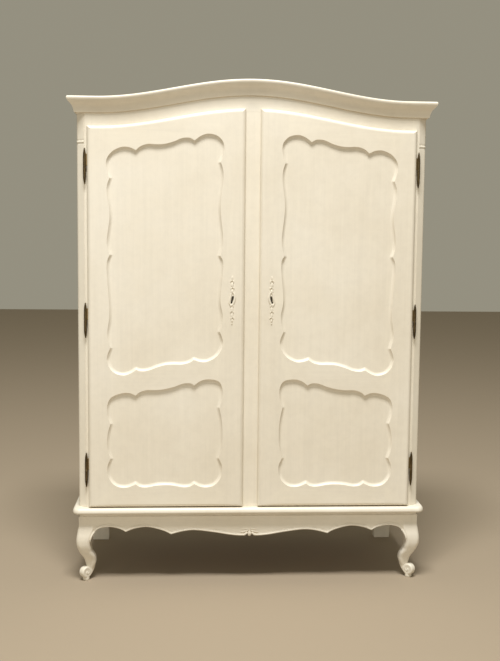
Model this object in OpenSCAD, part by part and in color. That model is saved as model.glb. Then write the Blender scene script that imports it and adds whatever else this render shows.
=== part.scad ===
// Two-door armoire with an arched cornice, scalloped door panels, spindle hinges and scroll feet.
// Millimetres. +Z up, the front faces -Y, origin on the floor under the centre of the case.

/* [Overall] */
// Height to the top of the cornice at its centre
total_h = 1950; // [1900:5:2000]
// Width over the tips of the cornice
total_w = 1404; // [1384:2:1424]
// Depth from the tip of the cornice to the back
total_d = 606; // [580:2:640]
// How far the cornice stands out from the case, front and sides
cornice_out = 32; // [28:1:36]
// Rise of the arch from the ends of the cornice to its centre
arch_rise = 73; // [60:1:76]
// Half of the width over which the cornice and the door tops curve
arch_half = 600; // [560:5:620]

/* [Cornice and frieze] */
// Height of the cornice moulding
cornice_h = 62; // [58:1:64]
// Height from the door tops to the underside of the cornice
frieze_gap = 45; // [44:1:48]
// Thickness of the front frame: frieze rail and centre stile
frame_t = 28; // [24:1:30]

/* [Posts and panels] */
// Width of a front corner post
post_w = 57; // [54:1:60]
// Depth of a front corner post
post_d = 45; // [40:1:50]
// Angle by which the face of a front post turns away beside the hinges
post_cant = 30; // [20:1:35]
// Radius of the rounded outer corner of a front post
post_round = 14; // [10:1:16]
// Width of a rear post, which also forms the rear foot
rear_post_w = 70; // [60:1:76]
// Thickness of a rear post
rear_post_d = 38; // [34:1:44]
// Thickness of the side and back rails
rail_t = 22; // [20:1:24]
// Thickness of the side and back panels
thin_t = 8; // [6:1:10]
// Depth of the grooves that hold the panels
groove = 8; // [6:1:10]
// Thickness of the floor, the top and the shelf boards
board_t = 18; // [16:1:20]
// Width of the centre stile between the doors
centre_stile_w = 100; // [98:1:104]

/* [Doors] */
// Distance from the centre line to the outer edge of a door
door_outer = 629.5; // [628:0.5:630]
// Distance from the centre line to the inner edge of a door
door_inner = 29; // [28:0.5:30]
// Distance from the centre line to the middle of a door's panels
panel_x = 333.5; // [332:0.5:334]
// Height of the bottom of the doors
door_z0 = 302; // [301.5:0.5:304]
// How far the door face stands out from the posts
door_proud = 18; // [17:1:19]
// How far the lip of a door covers the frame above it
door_lip = 12; // [10:1:14]
// How far a door reaches into its opening behind the front frame's face
tongue = 8; // [6:1:10]
// How far a stile reaches from the middle of the door's panels
stile_from_middle = 200; // [198:1:202]
// Thickness of a door panel
panel_t = 7; // [6:0.5:8]
// Depth of the door panels below the door face
panel_sink = 9; // [8:0.5:9]

/* [Hardware] */
// Heights of the hinge centres
hinge_z = [450, 1034, 1619]; // [400:1:1700]
// Distance from the centre line to the hinge axis
hinge_x = 638; // [637:0.5:640]
// Length of a hinge barrel with both tips
hinge_l = 136; // [120:2:150]
// Radius of a hinge barrel
barrel_r = 5.75; // [5.5:0.25:6.5]
// Radius of a hinge pin
pin_r = 3; // [2.5:0.25:3]
// Distance from the centre line to the keyholes
key_x = 76; // [74:1:78]
// Height of the keyholes
key_z = 1119; // [1100:1:1140]
// Length of a key plate
key_plate_l = 183; // [170:1:190]
// Travel of a lock bolt
bolt_travel = 9; // [6:1:10]

/* [Base] */
// Height of the underside of the base moulding
base_z = 271.5; // [270:0.5:273]
// Thickness of the base moulding
base_t = 28; // [24:1:28]
// How far the base moulding stands out at the front
base_out_front = 28; // [26:1:30]
// How far the base moulding stands out at the sides
base_out_side = 23; // [20:1:26]
// Size of the square block at the top of a front leg
leg_block = 58; // [56:1:60]
// Radius of the scroll on a front foot
scroll_r = 23.5; // [22:0.5:25]
// Thickness of the scroll on a front foot
scroll_t = 26; // [22:1:28]

/* [Inside] */
// Height of the underside of the hat shelf
shelf_z = 1640; // [1600:5:1680]
// Radius of the hanging rail
rod_r = 12.5; // [10:0.5:14]

/* [Hidden] */
$fn = 48;

cream = "#ede6cf";
bare_wood = "#b58a5a";
bronze = "#4a3a20";
steel = "#8d8f91";

LEFT = -1;
RIGHT = 1;
nudge = 1;                                   // makes a cutter run past the face that it cuts
slack = 0.5;                                 // room round a panel in its groove
case_half = total_w / 2 - cornice_out;       // side faces of the case
case_d = total_d - cornice_out;              // depth of the case behind the front of the posts
y_face = -total_d / 2 + cornice_out;         // where the front of the posts stands
cornice_z1 = total_h - arch_rise;            // top of the cornice at its ends
cornice_z0 = cornice_z1 - cornice_h;
door_z1 = cornice_z0 - frieze_gap;           // top of a door where the arch is flat
case_z0 = base_z + base_t;                   // the case stands on the base moulding
top_room = 14;                               // from the top of the doorway to the top board
opening_z1 = door_z1 - door_lip;
sill_z = case_z0 + board_t;                  // top of the floor board
top_board_z = opening_z1 + arch_rise + top_room;
post_x0 = case_half - post_w;
rear_y0 = case_d - rear_post_d;
rail_y0 = case_d - rail_t;
lip_back = -1;                               // gap between a door's lip and the frame
tongue_gap = 1.5;                            // gap between a door's tongue and its opening
tongue_x0 = centre_stile_w / 2 + tongue_gap;
tongue_x1 = post_x0 - tongue_gap;
panel_y0 = -door_proud + panel_sink;
panel_y1 = panel_y0 + panel_t;
hinge_y = -door_proud / 2;                   // hinge axis, level with the middle of a door's edge
leaf_t = 2.5;
leaf_reach = 24;                             // how far a leaf sits in the wood
leaf_inset = 22;                             // leaves stop this far short of the barrel's tips
side_rail_z0 = case_z0 + 90;                 // the side panels show between these two levels
side_rail_z1 = opening_z1 - 20;
side_panel_x0 = case_half - (rail_t + thin_t) / 2;
side_panel_x1 = side_panel_x0 + thin_t;
back_z0 = case_z0 + 80;                      // the back panels show between these two levels
back_z1 = 1760;
back_panel_y0 = case_d - (rail_t + thin_t) / 2;
back_panel_y1 = back_panel_y0 + thin_t;
back_x1 = case_half - rear_post_w;
muntin_half = 35;

// ---- curves ----

// Rise of the arch at x, shared by the cornice, the frieze, the doors and their panels
function arch(x) = abs(x) < arch_half ? arch_rise * (1 + cos(180 * x / arch_half)) / 2 : 0;

// One point of a smooth curve between b and c, with a before it and d after it
function curve(a, b, c, d, t) =
    0.5 * (2 * b + (c - a) * t + (2 * a - 5 * b + 4 * c - d) * t * t
        + (3 * b - a - 3 * c + d) * t * t * t);

// A smooth run through the points p, without its last point
function run(p, steps = 3) = [
    for (i = [0 : len(p) - 2], k = [0 : steps - 1])
        curve(p[max(i - 1, 0)], p[i], p[i + 1], p[min(i + 2, len(p) - 1)], k / steps)
];

function arc(c, r, a0, a1, steps) = [
    for (k = [0 : steps]) c + r * [cos(a0 + (a1 - a0) * k / steps), sin(a0 + (a1 - a0) * k / steps)]
];

// A closed outline from its right half, which starts and ends on the centre line
function mirrored(half) = concat(half, [for (i = [len(half) - 2 : -1 : 1]) [-half[i][0], half[i][1]]]);

// ---- door panel outlines: distance from the middle of the door, height before the arch is added ----

side_waist = 1285;                           // level point of the upper outline's sides
upper_half = concat(
    run([[0, 833], [30, 830], [66, 823], [94, 825], [111, 833]]),
    run([[111, 833], [133, 822], [160, 817], [192, 828], [213, 850], [223, 879], [219, 904], [210, 926]]),
    run([[210, 926], [221, 980], [212, 1068], [222, 1238], [210, side_waist]]),
    run([[210, side_waist], [221, 1335], [210, 1435], [221, 1530], [210, 1573]]),
    run([[210, 1573], [219, 1600], [223, 1630], [215, 1655], [193, 1676], [161, 1686], [133, 1681],
         [111, 1668]]),
    run([[111, 1668], [92, 1681], [64, 1685], [32, 1678], [0, 1675]]),
    [[0, 1675]]
);
lower_half = concat(
    run([[0, 391], [32, 389], [72, 382], [98, 385], [114, 395]]),
    run([[114, 395], [138, 384], [162, 381], [188, 387], [209, 405], [221, 431], [222, 466], [210, 495]]),
    run([[210, 495], [221, 530], [223, 566], [219, 600], [210, 630]]),
    run([[210, 630], [220, 660], [223, 697], [213, 727], [193, 741], [159, 748], [134, 744], [113, 732]]),
    run([[113, 732], [97, 743], [70, 747], [35, 741], [0, 739]]),
    [[0, 739]]
);
// Share of the arch that lifts a point: the waist of the upper outline stays level
function upper_lift(z) = min(1, abs(z - side_waist) / 280);
// Share of the arch that lifts a point: the foot of the lower outline stays level
function lower_lift(z) = max(0, min(1, (z - 495) / 135));

upper_outline = [for (p = mirrored(upper_half))
    [panel_x + p[0], p[1] + arch(panel_x + p[0]) * upper_lift(p[1])]];
lower_outline = [for (p = mirrored(lower_half))
    [panel_x + p[0], p[1] + arch(panel_x + p[0]) * lower_lift(p[1])]];

// ---- helpers ----

module placed() translate([0, y_face, 0]) children();

// A part of the right half, or its mirror image on the left
module sided(side) mirror([side == LEFT ? 1 : 0, 0, 0]) children();

// A flat shape drawn in x and z, with its front at y0 and its back at y1
module slab(y0, y1) translate([0, y1, 0]) rotate([90, 0, 0]) linear_extrude(y1 - y0) children();

module box(x0, x1, y0, y1, z0, z1) translate([x0, y0, z0]) cube([x1 - x0, y1 - y0, z1 - z0]);

// A solid through a row of closed sections that all have the same number of points
module swept(sections) {
    n = len(sections[0]);
    last = len(sections) - 1;
    points = [for (s = sections) each s];
    sides = [for (i = [0 : last - 1], j = [0 : n - 1])
        each [[i * n + j, i * n + (j + 1) % n, (i + 1) * n + j],
              [i * n + (j + 1) % n, (i + 1) * n + (j + 1) % n, (i + 1) * n + j]]];
    caps = [[for (j = [n - 1 : -1 : 0]) j], [for (j = [0 : n - 1]) last * n + j]];
    polyhedron(points, concat(sides, caps));
}

// ---- cornice ----

// Section of the cornice, a rounded nose over a hollow: distance out from the case, height above
// its underside
cornice_section = concat(
    [[0, cornice_h], [0, 0], [3.6, 0], [4.2, 2.2]],
    run([[5, 3.4], [7.6, 9], [11.2, 17.6], [16.2, 26.2], [21.6, 32.8], [cornice_out - 4.4, 37.6]], 2),
    run([[cornice_out - 3.6, 38.6], [cornice_out - 1.2, 43.5], [cornice_out, 51],
         [cornice_out - 1, cornice_h - 4], [cornice_out - 6, cornice_h]], 2),
    [[cornice_out - 6, cornice_h]]
);
cornice_stations = 32;

module cornice_front() placed() color(cream)
    swept(concat(
        [[for (p = cornice_section) [-case_half - p[0], -p[0], cornice_z0 + p[1]]]],
        [for (i = [0 : cornice_stations])
            let (x = arch_half * (2 * i / cornice_stations - 1))
            [for (p = cornice_section) [x, -p[0], cornice_z0 + p[1] + arch(x)]]],
        [[for (p = cornice_section) [case_half + p[0], -p[0], cornice_z0 + p[1]]]]
    ));

module cornice_side(side) placed() color(cream) sided(side)
    swept([
        [for (p = cornice_section) [case_half + p[0], -p[0], cornice_z0 + p[1]]],
        [for (p = cornice_section) [case_half + p[0], case_d, cornice_z0 + p[1]]]
    ]);

module cornice_left() cornice_side(LEFT);
module cornice_right() cornice_side(RIGHT);

// Edge of an arched board from x0 to x1 at height z, drawn right to left when flip is true
function arched_edge(x0, x1, z, steps = 24) = [
    for (i = [0 : steps]) let (x = x0 + (x1 - x0) * i / steps) [x, z + arch(x)]
];

// The lower edge is level where it rests on the centre stile
module frieze_rail() placed() color(cream)
    slab(0, frame_t) polygon(concat(
        arched_edge(-post_x0, -centre_stile_w / 2, opening_z1, 20),
        arched_edge(centre_stile_w / 2, post_x0, opening_z1, 20),
        arched_edge(post_x0, -post_x0, cornice_z1, 40)
    ));

// ---- case ----

cant_x0 = hinge_x + 3;                       // where the face of a post starts to turn away
cant_x1 = case_half - post_round * (1 - sin(post_cant));
corner_y = (cant_x1 - cant_x0) * tan(post_cant) + post_round * cos(post_cant);

// Plan of the wood in front of a post's turned-away face and rounded corner
module cant_plan() polygon(concat(
    [[cant_x0, 0]],
    arc([case_half - post_round, corner_y], post_round, post_cant - 90, 0, 8),
    [[case_half + nudge, corner_y], [case_half + nudge, -nudge], [cant_x0, -nudge]]
));

// A front corner post, with its face turned away up to the cornice
module corner_post(side) placed() color(cream) sided(side)
    difference() {
        box(post_x0, case_half, 0, post_d, case_z0, cornice_z1);
        translate([0, 0, case_z0 - nudge]) linear_extrude(cornice_z0 - case_z0 + nudge) cant_plan();
        box(side_panel_x0 - slack / 2, side_panel_x1 + slack / 2, post_d - groove, post_d + nudge,
            side_rail_z0 - groove, side_rail_z1 + groove);
        for (z = hinge_z)
            box(hinge_x - leaf_t / 2 - slack / 2, hinge_x + leaf_t / 2 + slack / 2,
                -nudge, leaf_reach + slack, z - hinge_l / 2 + leaf_inset - slack, z);
    }

module corner_post_left() corner_post(LEFT);
module corner_post_right() corner_post(RIGHT);

module centre_stile() placed() color(cream)
    difference() {
        box(-centre_stile_w / 2, centre_stile_w / 2, 0, frame_t,
            case_z0, opening_z1 + arch(centre_stile_w / 2));
        for (side = [LEFT, RIGHT]) sided(side) strike_cut();
    }

module rear_post(side) placed() color(cream) sided(side)
    difference() {
        box(back_x1, case_half, rear_y0, case_d, 0, cornice_z1);
        box(side_panel_x0 - slack / 2, side_panel_x1 + slack / 2, rear_y0 - nudge, rear_y0 + groove,
            side_rail_z0 - groove, side_rail_z1 + groove);
        box(back_x1 - nudge, back_x1 + groove, back_panel_y0 - slack / 2, back_panel_y1 + slack / 2,
            back_z0 - groove, back_z1 + groove);
    }

module rear_post_left() rear_post(LEFT);
module rear_post_right() rear_post(RIGHT);

// A side rail, grooved along the edge that faces the panel
module side_rail(side, z0, z1, groove_z) placed() color(cream) sided(side)
    difference() {
        box(case_half - rail_t, case_half, post_d, rear_y0, z0, z1);
        box(side_panel_x0 - slack / 2, side_panel_x1 + slack / 2, post_d - nudge, rear_y0 + nudge,
            groove_z - groove, groove_z + groove);
    }

module side_top_rail_left() side_rail(LEFT, side_rail_z1, cornice_z1, side_rail_z1);
module side_top_rail_right() side_rail(RIGHT, side_rail_z1, cornice_z1, side_rail_z1);
module side_bottom_rail_left() side_rail(LEFT, case_z0, side_rail_z0, side_rail_z0);
module side_bottom_rail_right() side_rail(RIGHT, case_z0, side_rail_z0, side_rail_z0);

module side_panel(side) placed() color(cream) sided(side)
    box(side_panel_x0, side_panel_x1, post_d - groove + slack, rear_y0 + groove - slack,
        side_rail_z0 - groove + slack, side_rail_z1 + groove - slack);

module side_panel_left() side_panel(LEFT);
module side_panel_right() side_panel(RIGHT);

module back_rail(z0, z1, groove_z) placed() color(bare_wood)
    difference() {
        box(-back_x1, back_x1, rail_y0, case_d, z0, z1);
        box(-back_x1 - nudge, back_x1 + nudge, back_panel_y0 - slack / 2, back_panel_y1 + slack / 2,
            groove_z - groove, groove_z + groove);
    }

module back_top_rail() back_rail(back_z1, cornice_z1, back_z1);
module back_bottom_rail() back_rail(case_z0, back_z0, back_z0);

module back_muntin() placed() color(bare_wood)
    difference() {
        box(-muntin_half, muntin_half, rail_y0, case_d, back_z0, back_z1);
        for (side = [LEFT, RIGHT]) sided(side)
            box(muntin_half - groove, muntin_half + nudge, back_panel_y0 - slack / 2,
                back_panel_y1 + slack / 2, back_z0 - nudge, back_z1 + nudge);
    }

module back_panel(side) placed() color(bare_wood) sided(side)
    box(muntin_half - groove + slack, back_x1 + groove - slack, back_panel_y0, back_panel_y1,
        back_z0 - groove + slack, back_z1 + groove - slack);

module back_panel_left() back_panel(LEFT);
module back_panel_right() back_panel(RIGHT);

// A board that fills the case from front_y to the back, notched round the four posts
module case_board(front_y, z) placed() color(bare_wood)
    difference() {
        box(-case_half + rail_t, case_half - rail_t, front_y, rail_y0, z, z + board_t);
        for (side = [LEFT, RIGHT]) sided(side) {
            box(post_x0, case_half, -nudge, post_d, z - nudge, z + board_t + nudge);
            box(back_x1, case_half, rear_y0, case_d, z - nudge, z + board_t + nudge);
        }
    }

module top_board() case_board(frame_t, top_board_z);
// The front edge of the floor is the sill that the doors close against
module floor_board() difference() {
    case_board(0, case_z0);
    placed() box(-centre_stile_w / 2, centre_stile_w / 2, -nudge, frame_t,
        case_z0 - nudge, case_z0 + board_t + nudge);
}

// ---- base ----

base_back = post_d + 5;                      // how far the front moulding reaches under the case

// Section of the base moulding: a half-round nose on a flat strip; 0 is the case's face.
// The side strips reach further in, so that both mitres are flat.
function base_section(out, back) = concat(
    [[-back, base_t], [-back, 0]],
    arc([out - base_t / 2, base_t / 2], base_t / 2, -90, 90, 12)
);
front_section = base_section(base_out_front, base_back);
side_section = base_section(base_out_side, base_back + base_out_front - base_out_side);

// The front strip is mitred to the side strips, point by point
module base_moulding_front() placed() color(cream)
    swept([for (side = [LEFT, RIGHT])
        [for (i = [0 : len(front_section) - 1])
            [side * (case_half + side_section[i][0]), -front_section[i][0], base_z + front_section[i][1]]]]);

module base_moulding_side(side) placed() color(cream) sided(side)
    difference() {
        swept([
            [for (i = [0 : len(front_section) - 1])
                [case_half + side_section[i][0], -front_section[i][0], base_z + side_section[i][1]]],
            [for (p = side_section) [case_half + p[0], case_d, base_z + p[1]]]
        ]);
        box(back_x1 - nudge, case_half, rear_y0, case_d + nudge, base_z - nudge, case_z0 + nudge);
    }

module base_moulding_left() base_moulding_side(LEFT);
module base_moulding_right() base_moulding_side(RIGHT);

leg_x0 = case_half - leg_block;

// Lower edge of the front apron from the centre to the leg
apron_half = concat(
    run([[0, 179], [5, 181.5], [8.5, 191]]),
    run([[8.5, 191], [14, 187], [21, 181.5], [42, 181], [80, 185], [140, 195], [214, 204], [262, 200],
         [310, 188]]),
    run([[310, 188], [340, 203], [400, 218], [452, 212], [487, 199]]),
    run([[487, 199], [510, 211], [545, 219], [576, 217], [597, 210], [leg_x0, 196]]),
    [[leg_x0, 196]]
);

module front_apron() placed() color(cream)
    slab(0, rail_t) polygon(concat(
        apron_half,
        [[leg_x0, base_z], [-leg_x0, base_z]],
        [for (i = [len(apron_half) - 1 : -1 : 1]) [-apron_half[i][0], apron_half[i][1]]]
    ));

// A small drop with a curled leaf on each side, planted on the middle of the front apron
carving_half = concat(
    run([[0, 180], [5, 182.5], [8.5, 192]]),
    run([[8.5, 192], [16, 188], [26, 185], [38, 189]]),
    run([[38, 189], [30, 199], [12, 203], [5, 209], [0, 211]]),
    [[0, 211]]
);
carving_t = 5;
module apron_carving() placed() color(cream) slab(-carving_t, 0) polygon(mirrored(carving_half));

// The side aprons hang between a front leg and a rear post
side_apron_y0 = leg_block;
side_apron_half = concat(
    run([[0, 214], [40, 208], [90, 220], [150, 224], [200, 212], [(rear_y0 - side_apron_y0) / 2, 200]]),
    [[(rear_y0 - side_apron_y0) / 2, 200]]
);
module side_apron(side) placed() color(cream) sided(side)
    translate([case_half - rail_t, (rear_y0 + side_apron_y0) / 2, 0]) rotate([90, 0, 90])
        linear_extrude(rail_t) polygon(concat(
            side_apron_half,
            [[(rear_y0 - side_apron_y0) / 2, base_z], [-(rear_y0 - side_apron_y0) / 2, base_z]],
            [for (i = [len(side_apron_half) - 1 : -1 : 1]) [-side_apron_half[i][0], side_apron_half[i][1]]]
        ));

module side_apron_left() side_apron(LEFT);
module side_apron_right() side_apron(RIGHT);

back_apron_drop = 50;
module back_apron() placed() color(cream)
    box(-back_x1, back_x1, rail_y0, case_d, base_z - back_apron_drop, case_z0);

// ---- front legs ----

// Each row: height, shift outward along the diagonal, half width, corner radius
leg_rows = [
    [base_z, 0, 29, 1], [226, 0, 29, 1], [206, 3, 31, 7], [192, 6, 30, 10], [179, 9, 29, 12],
    [166, 11.5, 28, 13], [155, 12, 27, 14], [144, 11.5, 27, 15], [132, 8.5, 26.5, 16], [120, 6, 25.5, 17],
    [108, 0, 25.5, 18], [98, -5, 25.5, 18], [88, -9.5, 24, 17], [78, -12, 22.5, 16], [68, -13, 21, 15],
    [56, -12.5, 18.5, 14], [44, -8, 15, 13], [34, 0, 12, 11]
];
// A square section with rounded corners
function leg_ring(row) = [
    for (corner = [0 : 3], k = [0 : 3])
        let (a = 90 * corner + 30 * k, flat = row[2] - row[3])
        [case_half - leg_block / 2 + row[1] + row[3] * cos(a) + flat * sign(cos(90 * corner + 45)),
         leg_block / 2 - row[1] + row[3] * sin(a) + flat * sign(sin(90 * corner + 45)),
         row[0]]
];
scroll_shift = 6.5;                          // the scroll stands this far out along x and -y
scroll_z = 33;
pad_shift = 4.5;
pad_r = 13;
pad_h = 16;

module front_leg(side) placed() color(cream) sided(side) {
    swept([for (row = leg_rows) leg_ring(row)]);
    translate([case_half - leg_block / 2 + scroll_shift, leg_block / 2 - scroll_shift, scroll_z])
        rotate([90, 0, 45]) cylinder(r = scroll_r, h = scroll_t, center = true);
    translate([case_half - leg_block / 2 + pad_shift, leg_block / 2 - pad_shift, 0])
        cylinder(r = pad_r, h = pad_h);
}

module front_leg_left() front_leg(LEFT);
module front_leg_right() front_leg(RIGHT);

// ---- doors ----

// An area of a door in x and z, with its top edge at top_z before the arch is added
module door_field(x0, x1, foot_z, top_z) polygon(concat(
    arched_edge(x1, x0, top_z, 20),
    [[x0, foot_z], [x1, foot_z]]
));

module window(x0, x1, z0, z1) translate([x0, z0]) square([x1 - x0, z1 - z0]);

// The panels reach this far past the largest width and height of their openings
panel_half = 232;
upper_z = [807, 1697];
lower_z = [371, 759];

// Shape of a panel board; grow makes the groove that it sits in
module upper_board(grow) polygon(concat(
    arched_edge(panel_x + panel_half + grow, panel_x - panel_half - grow, upper_z[1] + grow, 12),
    arched_edge(panel_x - panel_half - grow, panel_x + panel_half + grow, upper_z[0] - grow, 12)
));
module lower_board(grow) polygon(concat(
    arched_edge(panel_x + panel_half + grow, panel_x - panel_half - grow, lower_z[1] + grow, 12),
    [[panel_x - panel_half - grow, lower_z[0] - grow], [panel_x + panel_half + grow, lower_z[0] - grow]]
));

// The part of the door frame between x0 and x1, z0 and z1, on the right-hand door
module door_member(x0, x1, z0, z1)
    difference() {
        union() {
            slab(-door_proud, lip_back) intersection() {
                door_field(door_inner, door_outer, door_z0, door_z1);
                window(x0, x1, z0, z1);
            }
            slab(lip_back, tongue) intersection() {
                door_field(tongue_x0, tongue_x1, sill_z + tongue_gap, opening_z1 - tongue_gap);
                window(x0, x1, z0, z1);
            }
        }
        slab(-door_proud - nudge, tongue + nudge) {
            polygon(upper_outline);
            polygon(lower_outline);
        }
        slab(panel_y0, panel_y1 + slack) {
            upper_board(slack);
            lower_board(slack);
        }
    }

stile_in = panel_x - stile_from_middle;
stile_out = panel_x + stile_from_middle;

module hinge_stile(side) placed() color(cream) sided(side)
    difference() {
        door_member(stile_out, door_outer, door_z0, total_h);
        for (z = hinge_z)
            box(door_outer - leaf_reach - slack, door_outer + nudge, hinge_y - leaf_t / 2 - slack / 2,
                hinge_y + leaf_t / 2 + slack / 2, z, z + hinge_l / 2 - leaf_inset + slack);
    }

module lock_stile(side) placed() color(cream) sided(side)
    difference() {
        door_member(door_inner, stile_in, door_z0, total_h);
        keyhole(-door_proud - nudge, tongue + nudge);
    }

module hinge_stile_left() hinge_stile(LEFT);
module hinge_stile_right() hinge_stile(RIGHT);
module lock_stile_left() lock_stile(LEFT);
module lock_stile_right() lock_stile(RIGHT);

upper_break = 1300;                          // any level inside the upper opening
lower_break = 570;                           // any level inside the lower opening

module door_rail(side, z0, z1) placed() color(cream) sided(side) door_member(stile_in, stile_out, z0, z1);

module door_top_rail_left() door_rail(LEFT, upper_break, total_h);
module door_top_rail_right() door_rail(RIGHT, upper_break, total_h);
module door_mid_rail_left() door_rail(LEFT, lower_break, upper_break);
module door_mid_rail_right() door_rail(RIGHT, lower_break, upper_break);
module door_bottom_rail_left() door_rail(LEFT, door_z0, lower_break);
module door_bottom_rail_right() door_rail(RIGHT, door_z0, lower_break);

module upper_panel(side) placed() color(cream) sided(side) slab(panel_y0, panel_y1) upper_board(0);
module lower_panel(side) placed() color(cream) sided(side) slab(panel_y0, panel_y1) lower_board(0);

module upper_panel_left() upper_panel(LEFT);
module upper_panel_right() upper_panel(RIGHT);
module lower_panel_left() lower_panel(LEFT);
module lower_panel_right() lower_panel(RIGHT);

// ---- hinges ----

joint_gap = 0.25;                            // half of the gap between the two halves of a barrel
pin_fit = 0.05;                              // room round a pin in its bore
pin_l = 34;                                  // length of a pin above the joint
pin_root = 10;                               // length of a pin in the lower half
pin_room = 1;                                // the bore is this much longer than its pin
taper_z = 32;                                // the barrel starts to taper this far from the joint
tip_r = 2.8;                                 // radius of the ball at a barrel's tip

// Half of a spindle barrel, from the joint up to its tip
module half_barrel() rotate_extrude() polygon(concat(
    [[0, joint_gap], [barrel_r, joint_gap]],
    run([[barrel_r, taper_z], [5.3, 42], [4.2, 51], [2.4, 60]]),
    arc([0, hinge_l / 2 - tip_r], tip_r, -30, 90, 6)
));

module at_hinges(side) placed() sided(side)
    for (z = hinge_z) translate([hinge_x, hinge_y, z]) children();

// The lower halves stay on the posts and carry the pins
module hinge_pins() color(bronze)
    for (side = [LEFT, RIGHT]) at_hinges(side) {
        mirror([0, 0, 1]) half_barrel();
        translate([0, 0, -joint_gap - pin_root]) cylinder(r = pin_r, h = pin_l + pin_root);
        box(-leaf_t / 2, leaf_t / 2, 0, -hinge_y + leaf_reach, -hinge_l / 2 + leaf_inset, -joint_gap);
    }

// The upper halves turn with the door
module hinge_leaves(side) color(bronze) at_hinges(side)
    difference() {
        union() {
            half_barrel();
            box(door_outer - leaf_reach - hinge_x, 0, -leaf_t / 2, leaf_t / 2,
                joint_gap, hinge_l / 2 - leaf_inset);
        }
        translate([0, 0, -nudge]) cylinder(r = pin_r + pin_fit, h = pin_l + pin_room + nudge);
    }

module hinge_leaves_left() hinge_leaves(LEFT);
module hinge_leaves_right() hinge_leaves(RIGHT);

// ---- locks ----

// A leaning keyhole: a round head towards the centre stile and a narrower foot
key_head = [key_x - 2.5, key_z + 7];
key_head_r = 5;
key_foot = [key_x + 3, key_z - 15];
key_foot_r = 3;

// The keyhole runs through a door from y0 to y1
module keyhole(y0, y1) slab(y0, y1) {
    translate(key_head) circle(key_head_r);
    translate(key_foot) circle(key_foot_r);
    polygon([key_head - [key_foot_r, 0], key_foot - [key_foot_r, 0], key_foot + [key_foot_r, 0],
             key_head + [key_foot_r, 0]]);
}

// A quarter of a key plate, from its middle out to a tip: a rounded centre and a long wavy tail
plate_half = run([[0, 0], [9, 4], [14, 14], [9, 26], [12, 36], [7, 52], [10, 62], [6, 76], [4, 86],
                  [0, key_plate_l / 2]], 2);
key_plate_z = key_z - 4.5;                   // height of the middle of a key plate
key_plate_t = 3;
module escutcheon(side) placed() color(cream) sided(side)
    difference() {
        slab(-door_proud - key_plate_t, -door_proud) translate([key_x, key_plate_z]) polygon(concat(
            [for (p = plate_half) if (p[0] > 0) p],
            [[0, key_plate_l / 2]],
            [for (i = [len(plate_half) - 1 : -1 : 1]) [-plate_half[i][0], plate_half[i][1]]],
            [for (i = [1 : len(plate_half) - 1]) [-plate_half[i][0], -plate_half[i][1]]],
            [[0, -key_plate_l / 2]],
            [for (i = [len(plate_half) - 1 : -1 : 1]) [plate_half[i][0], -plate_half[i][1]]]
        ));
        keyhole(-door_proud - key_plate_t - nudge, -door_proud + nudge);
    }

module escutcheon_left() escutcheon(LEFT);
module escutcheon_right() escutcheon(RIGHT);

lock_x0 = tongue_x0 + 1;                     // edge of the lock case, on the back of the lock stile
lock_y0 = tongue;
lock_y1 = lock_y0 + 14;
lock_w = 58;
lock_h = 80;
lock_wall = 3;                               // wall of the lock case round the bolt
bolt_h = 24;
bolt_t = 8;
bolt_l = 40;
bolt_y0 = lock_y0 + lock_wall;

module lock_case(side) placed() color(steel) sided(side)
    difference() {
        box(lock_x0, lock_x0 + lock_w, lock_y0, lock_y1, key_z - lock_h / 2, key_z + lock_h / 2);
        box(lock_x0 - nudge, lock_x0 + lock_w - lock_wall, bolt_y0 - slack / 2, bolt_y0 + bolt_t + slack / 2,
            key_z - bolt_h / 2 - slack / 2, key_z + bolt_h / 2 + slack / 2);
        keyhole(lock_y0 - nudge, lock_y0 + lock_wall + nudge);
    }

module lock_case_left() lock_case(LEFT);
module lock_case_right() lock_case(RIGHT);

module lock_bolt(side) placed() color(steel) sided(side)
    box(lock_x0, lock_x0 + bolt_l, bolt_y0, bolt_y0 + bolt_t, key_z - bolt_h / 2, key_z + bolt_h / 2);

module lock_bolt_left() lock_bolt(LEFT);
module lock_bolt_right() lock_bolt(RIGHT);

plate_t = 1.5;
plate_h = 56;
plate_y0 = bolt_y0 - 5;                      // a strike plate spans the bolt's slot with a margin
plate_y1 = frame_t - 4;

bolt_room = 1;                               // room round a bolt in its mortise
mortise_d = bolt_travel + 4;                 // depth of the mortise that takes the thrown bolt

module bolt_slot(x0, x1)
    box(x0, x1, bolt_y0 - bolt_room, bolt_y0 + bolt_t + bolt_room,
        key_z - bolt_h / 2 - bolt_room, key_z + bolt_h / 2 + bolt_room);

// Recess for a strike plate and the mortise behind it, on the right side of the centre stile
module strike_cut() {
    box(centre_stile_w / 2 - plate_t, centre_stile_w / 2 + nudge, plate_y0, plate_y1,
        key_z - plate_h / 2, key_z + plate_h / 2);
    bolt_slot(centre_stile_w / 2 - mortise_d, centre_stile_w / 2);
}

module strike_plates() placed() color(steel)
    for (side = [LEFT, RIGHT]) sided(side) difference() {
        box(centre_stile_w / 2 - plate_t, centre_stile_w / 2, plate_y0, plate_y1,
            key_z - plate_h / 2, key_z + plate_h / 2);
        bolt_slot(centre_stile_w / 2 - plate_t - nudge, centre_stile_w / 2 + nudge);
    }

// ---- inside ----

shelf_y0 = post_d + 15;                      // the shelf stops short of the posts' back
cleat_h = 90;                                // height of a batten under the shelf
rod_y = (post_d + rear_y0) / 2;
rod_z = shelf_z - 60;
rod_end = 4;                                 // gap between the rail and the cleats
socket_t = 12;
socket_wall = 7;
socket_web = 3;
socket_fit = 0.3;                            // room round the rail in its sockets
inner_half = case_half - rail_t;

module hat_shelf() placed() color(bare_wood)
    difference() {
        box(-inner_half, inner_half, shelf_y0, rail_y0, shelf_z, shelf_z + board_t);
        for (side = [LEFT, RIGHT]) sided(side)
            box(back_x1, case_half, rear_y0, case_d, shelf_z - nudge, shelf_z + board_t + nudge);
    }

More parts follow.
